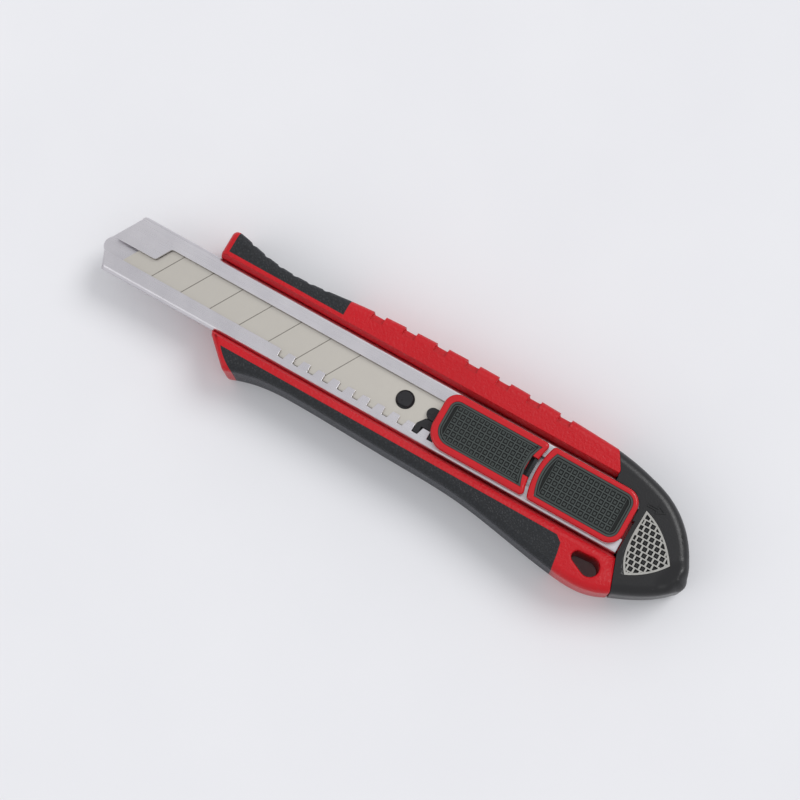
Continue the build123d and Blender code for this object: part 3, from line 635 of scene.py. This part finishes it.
def pit_tree():
    """A slab whose top is a lattice of ridges round square pits, with a low stud in each pit."""
    tree, given = input_tree(
        "pit_lattice",
        (
            ("Columns", "NodeSocketInt"),
            ("Rows", "NodeSocketInt"),
            ("Size", "NodeSocketVector"),
            ("Centre", "NodeSocketVector"),
            ("Pit Depth", "NodeSocketFloat"),
            ("Material", "NodeSocketMaterial"),
        ),
    )
    lines = [
        add_node(tree, "ShaderNodeMath", {1: 1.0}, {0: given[count]}, operation="ADD").outputs[0]
        for count in ("Columns", "Rows")
    ]
    slab = add_node(
        tree,
        "GeometryNodeMeshCube",
        {"Vertices Z": 2},
        {"Size": given["Size"], "Vertices X": lines[0], "Vertices Y": lines[1]},
    )
    normal = add_node(tree, "GeometryNodeInputNormal")
    split = add_node(tree, "ShaderNodeSeparateXYZ", None, {0: normal.outputs[0]})
    up = add_node(
        tree, "FunctionNodeCompare", {1: 0.5}, {0: split.outputs["Z"]}, operation="GREATER_THAN"
    )
    mesh, chosen = slab.outputs["Mesh"], up.outputs[0]
    # each step shrinks the top faces and moves them down by a share of the pit's depth
    ridge, pit_wall = (pit_share, 0.0), (pit_taper, 1.0)
    pit_floor, stud_wall = (pit_stud_share, 0.0), (pit_stud_taper, -pit_stud_rise)
    for shrink, drop in (ridge, pit_wall, pit_floor, stud_wall):
        move = add_node(
            tree, "ShaderNodeMath", {1: -drop}, {0: given["Pit Depth"]}, operation="MULTIPLY"
        )
        pulled = add_node(
            tree,
            "GeometryNodeExtrudeMesh",
            {"Individual": True},
            {"Mesh": mesh, "Selection": chosen, "Offset Scale": move.outputs[0]},
        )
        scaled = add_node(
            tree,
            "GeometryNodeScaleElements",
            {"Scale": shrink},
            {"Geometry": pulled.outputs["Mesh"], "Selection": pulled.outputs["Top"]},
        )
        mesh, chosen = scaled.outputs["Geometry"], pulled.outputs["Top"]
    moved = add_node(
        tree, "GeometryNodeTransform", None, {"Geometry": mesh, "Translation": given["Centre"]}
    )
    return finish_tree(tree, moved.outputs[0], given["Material"])


def stud_tree():
    """A tapered square stud on every point."""
    tree, given = input_tree(
        "window_studs",
        (
            ("Side", "NodeSocketFloat"),
            ("Height", "NodeSocketFloat"),
            ("Material", "NodeSocketMaterial"),
        ),
    )
    # a four-sided cone's radius is its half diagonal
    foot = add_node(tree, "ShaderNodeMath", {1: 0.5**0.5}, {0: given["Side"]}, operation="MULTIPLY")
    head = add_node(
        tree, "ShaderNodeMath", {1: stud_taper}, {0: foot.outputs[0]}, operation="MULTIPLY"
    )
    stud = add_node(
        tree,
        "GeometryNodeMeshCone",
        {"Vertices": 4},
        {"Radius Top": head.outputs[0], "Radius Bottom": foot.outputs[0], "Depth": given["Height"]},
    )
    placed = add_node(
        tree,
        "GeometryNodeInstanceOnPoints",
        {"Rotation": (0, 0, math.radians(45))},
        {"Points": given["Geometry"], "Instance": stud.outputs["Mesh"]},
    )
    return finish_tree(tree, placed.outputs[0], given["Material"])


def grown_by(tree, name, inputs, points=()):
    """Runs a Geometry Nodes tree with these inputs on these points, into a plain mesh piece."""
    source = bpy.data.meshes.new(name + "_points")
    source.from_pydata([tuple(p) for p in points], [], [])
    piece = bpy.data.objects.new(name, source)
    bpy.context.scene.collection.objects.link(piece)
    modifier = piece.modifiers.new(name, "NODES")
    modifier.node_group = tree
    sockets = {s.name: s.identifier for s in tree.interface.items_tree if s.in_out == "INPUT"}
    for label, value in inputs.items():
        modifier[sockets[label]] = value
    evaluated = piece.evaluated_get(bpy.context.evaluated_depsgraph_get())
    mesh = bpy.data.meshes.new_from_object(evaluated)
    piece.modifiers.clear()
    piece.data = mesh
    mesh.name = name
    return piece


lattice_tree = pit_tree()
studs_tree = stud_tree()


def pit_lattice(name, band_centre, columns, body):
    """A field of square pits, its ridges a little below the border band."""
    size = (columns * pit_pitch_x * MM, pit_rows * pit_pitch_y * MM, lattice_height * MM)
    centre = band_centre - Vector((0, 0, (lattice_sink + lattice_height / 2) * MM))
    piece = grown_by(
        lattice_tree,
        name,
        {
            "Columns": columns,
            "Rows": pit_rows,
            "Size": size,
            "Centre": centre,
            "Pit Depth": pit_depth * MM,
            "Material": pad_rubber,
        },
    )
    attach(piece, body)
    return piece


pit_lattice("rear_pad_lattice", grooved_pad("rear_pad"), rear_pit_columns, "cap")
pit_lattice("thumb_pad_lattice", grooved_pad("thumb_pad"), thumb_pit_columns, "slider")

# ---- the end cap -----------------------------------------------------------------------------

cap_front_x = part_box("blade_channel")[0].x / MM - channel_gap
downwards = Vector((0, 0, -1))


def nearest(point, outline):
    """Distance in plan from a point to the nearest of an outline's segments."""
    best = 1.0
    for a, b in outline:
        along_it = b - a
        share = max(0.0, min(1.0, (point - a).dot(along_it) / along_it.length_squared))
        best = min(best, (point - a - along_it * share).length)
    return best


def eased(share):
    """A smooth step from 0 to 1."""
    share = max(0.0, min(1.0, share))
    return share * share * (3 - 2 * share)


def cut_into_cells(bm, level):
    """Cuts the faces above a level by a square mesh of planes, so that they can bend."""
    low = [min(v.co[axis] for v in bm.verts) for axis in (0, 1)]
    high = [max(v.co[axis] for v in bm.verts) for axis in (0, 1)]
    for axis in (0, 1):
        normal = Vector((axis == 0, axis == 1, 0))
        steps = int((high[axis] - low[axis]) / (cut_pitch * MM))
        for step in range(1, steps):
            at = normal * (low[axis] + (high[axis] - low[axis]) * step / steps)
            faces = [f for f in bm.faces if f.normal.z > 0.05 and f.calc_center_median().z > level]
            edges = {e for f in faces for e in f.edges}
            verts = {v for f in faces for v in f.verts}
            bmesh.ops.bisect_plane(
                bm, geom=[*faces, *edges, *verts], dist=1e-6, plane_co=at, plane_no=normal
            )


def grid_outline():
    """The plan outline of the cap's grid, from its lower face."""
    bm = merged_copy("cap_grid")
    base = max((f for f in bm.faces if f.normal.z < -0.9), key=lambda f: f.calc_area())
    points = [loop.vert.co.xy for loop in base.loops]
    bm.free()
    return list(zip(points, points[1:] + points[:1]))


def crested_cap():
    """The end cap, its top raised to a crest inside the outer edge and dished towards the grid."""
    bm = merged_copy("end_cap")
    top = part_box("end_cap")[1].z
    shoulder = top - cap_round * MM
    # the outer edge in plan: level edges where the side wall meets the top's round
    rim = [
        (e.verts[0].co.xy, e.verts[1].co.xy)
        for e in bm.edges
        if all(abs(v.co.z - shoulder) < rim_play * MM for v in e.verts)
        and len(e.link_faces) == 2
        and any(f.normal.z > 0.05 for f in e.link_faces)
    ]
    grid = grid_outline()
    cut_into_cells(bm, shoulder + same_level * MM)
    for v in bm.verts:
        if v.co.z < shoulder + 2 * same_level * MM:
            continue
        here = v.co.xy
        out = nearest(here, rim) / MM
        if out < crest_in:
            rise = eased(out / crest_in)
        else:
            rise = 1 - eased((out - crest_in) / (crest_foot - crest_in))
        v.co.z += crest_rise * MM * rise * eased(nearest(here, grid) / (grid_margin * MM))
    piece = new_piece("end_cap_finish", bm, black_abs)
    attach(piece, "cap")
    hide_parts("end_cap")
    return piece


def grid_studs():
    """Black studs that stand in the grid's whole windows, part of the cap's moulding."""
    low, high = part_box("cap_grid")
    lattice = BVHTree.FromObject(nodes["cap_grid"], bpy.context.evaluated_depsgraph_get())
    points = []
    for row in range(window_rows):
        for column in range(-window_columns, window_columns):
            x = cap_front_x - window_start_back - column * window_pitch_x - row * window_step
            y = window_start_y + row * window_pitch_y
            corners = [(x + i * stud_clear, y + j * stud_clear) for i in (-1, 1) for j in (-1, 1)]
            inside = low.x < x * MM < high.x and low.y < y * MM < high.y
            hits = [
                lattice.ray_cast(Vector((a * MM, b * MM, 1)), downwards)[0] for a, b in corners
            ]
            if inside and all(hit is None for hit in hits):
                points.append((x * MM, y * MM, low.z))
    piece = grown_by(
        studs_tree,
        "grid_studs",
        {"Side": stud_side * MM, "Height": stud_height * MM, "Material": black_abs},
        points,
    )
    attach(piece, "cap")
    return piece


def cap_arrow(cap_piece):
    """The raised outline of an arrow on the cap, pointing the way that the cap pulls off."""
    surface = BVHTree.FromObject(cap_piece, bpy.context.evaluated_depsgraph_get())
    tail_x = cap_front_x - arrow_back
    neck_x = tail_x - arrow_length + arrow_head_length
    tip_x = tail_x - arrow_length
    half = [(tail_x, arrow_shaft), (neck_x, arrow_shaft), (neck_x, arrow_head), (tip_x, 0)]
    outline = half + [(x, -y) for x, y in reversed(half[:-1])]
    outline = [Vector((x * MM, (arrow_y + y) * MM)) for x, y in reversed(outline)]
    inner, outer = shrunk(outline, arrow_line), shrunk(outline, -arrow_line)
    bm = bmesh.new()
    rings = []
    for ring, lift in (
        (outer, -arrow_sink),
        (outer, arrow_rise),
        (inner, arrow_rise),
        (inner, -arrow_sink),
    ):
        verts = []
        for p in ring:
            hit = surface.ray_cast(Vector((p.x, p.y, 1)), downwards)[0]
            verts.append(bm.verts.new((p.x, p.y, hit.z + lift * MM)))
        rings.append(verts)
    for first, second in zip(rings, rings[1:] + rings[:1]):
        for i in range(len(first)):
            j = (i + 1) % len(first)
            bm.faces.new((first[i], first[j], second[j], second[i]))
    bmesh.ops.recalc_face_normals(bm, faces=bm.faces)
    piece = new_piece("cap_arrow", bm, black_abs)
    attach(piece, "cap")
    return piece


grid_studs()
cap_arrow(crested_cap())
smooth_copy("cap_grid", grid_abs, 0.06)

# ---- floor, light and camera -----------------------------------------------------------------

floor_half = 3.0
corner_signs = ((-1, -1), (1, -1), (1, 1), (-1, 1))
floor_corners = [(i * floor_half, j * floor_half, 0) for i, j in corner_signs]
floor_mesh = bpy.data.meshes.new("studio_floor")
floor_mesh.from_pydata(floor_corners, [], [(0, 1, 2, 3)])
floor = bpy.data.objects.new("studio_floor", floor_mesh)
bpy.context.scene.collection.objects.link(floor)
floor_mesh.materials.append(floor_card)

world = bpy.data.worlds.new("studio")
world.use_nodes = True
world.node_tree.nodes["Background"].inputs["Color"].default_value = linear("F4F5F8")
world.node_tree.nodes["Background"].inputs["Strength"].default_value = 0.8
bpy.context.scene.world = world
bpy.context.scene.view_settings.view_transform = "Standard"


def soft_sun(name, direction, spread_degrees, strength):
    """Soft studio light from a direction, even over the whole floor."""
    lamp = bpy.data.lights.new(name, "SUN")
    lamp.angle = math.radians(spread_degrees)
    lamp.energy = strength
    made = bpy.data.objects.new(name, lamp)
    bpy.context.scene.collection.objects.link(made)
    made.rotation_euler = Vector(direction).to_track_quat("Z", "Y").to_euler()
    return made


soft_sun("key", (-0.3, -0.5, 0.7), 30, 1.15)
soft_sun("fill", (0.5, 0.55, 0.6), 40, 0.3)

# the camera looks down on the slider side, the tip up and to the left
camera_target = Vector((-1.488, 1.089, 14.9)) * MM
camera_distance = 579.5 * MM
camera_azimuth = math.radians(129.57)
camera_elevation = math.radians(79.86)
tip_direction = math.radians(150.8)  # of +X in the picture, from its right, anticlockwise

back = Vector(
    (
        math.cos(camera_azimuth) * math.cos(camera_elevation),
        math.sin(camera_azimuth) * math.cos(camera_elevation),
        math.sin(camera_elevation),
    )
)
along = (Vector((1, 0, 0)) - back * back.x).normalized()
across = back.cross(along)
right = along * math.cos(tip_direction) - across * math.sin(tip_direction)
up = along * math.sin(tip_direction) + across * math.cos(tip_direction)
camera_data = bpy.data.cameras.new("camera")
camera_data.lens = 90
camera_data.sensor_width = 36
camera = bpy.data.objects.new("camera", camera_data)
bpy.context.scene.collection.objects.link(camera)
camera.matrix_world = Matrix.Translation(camera_target + back * camera_distance) @ Matrix(
    (right, up, back)
).transposed().to_4x4()
bpy.context.scene.camera = camera
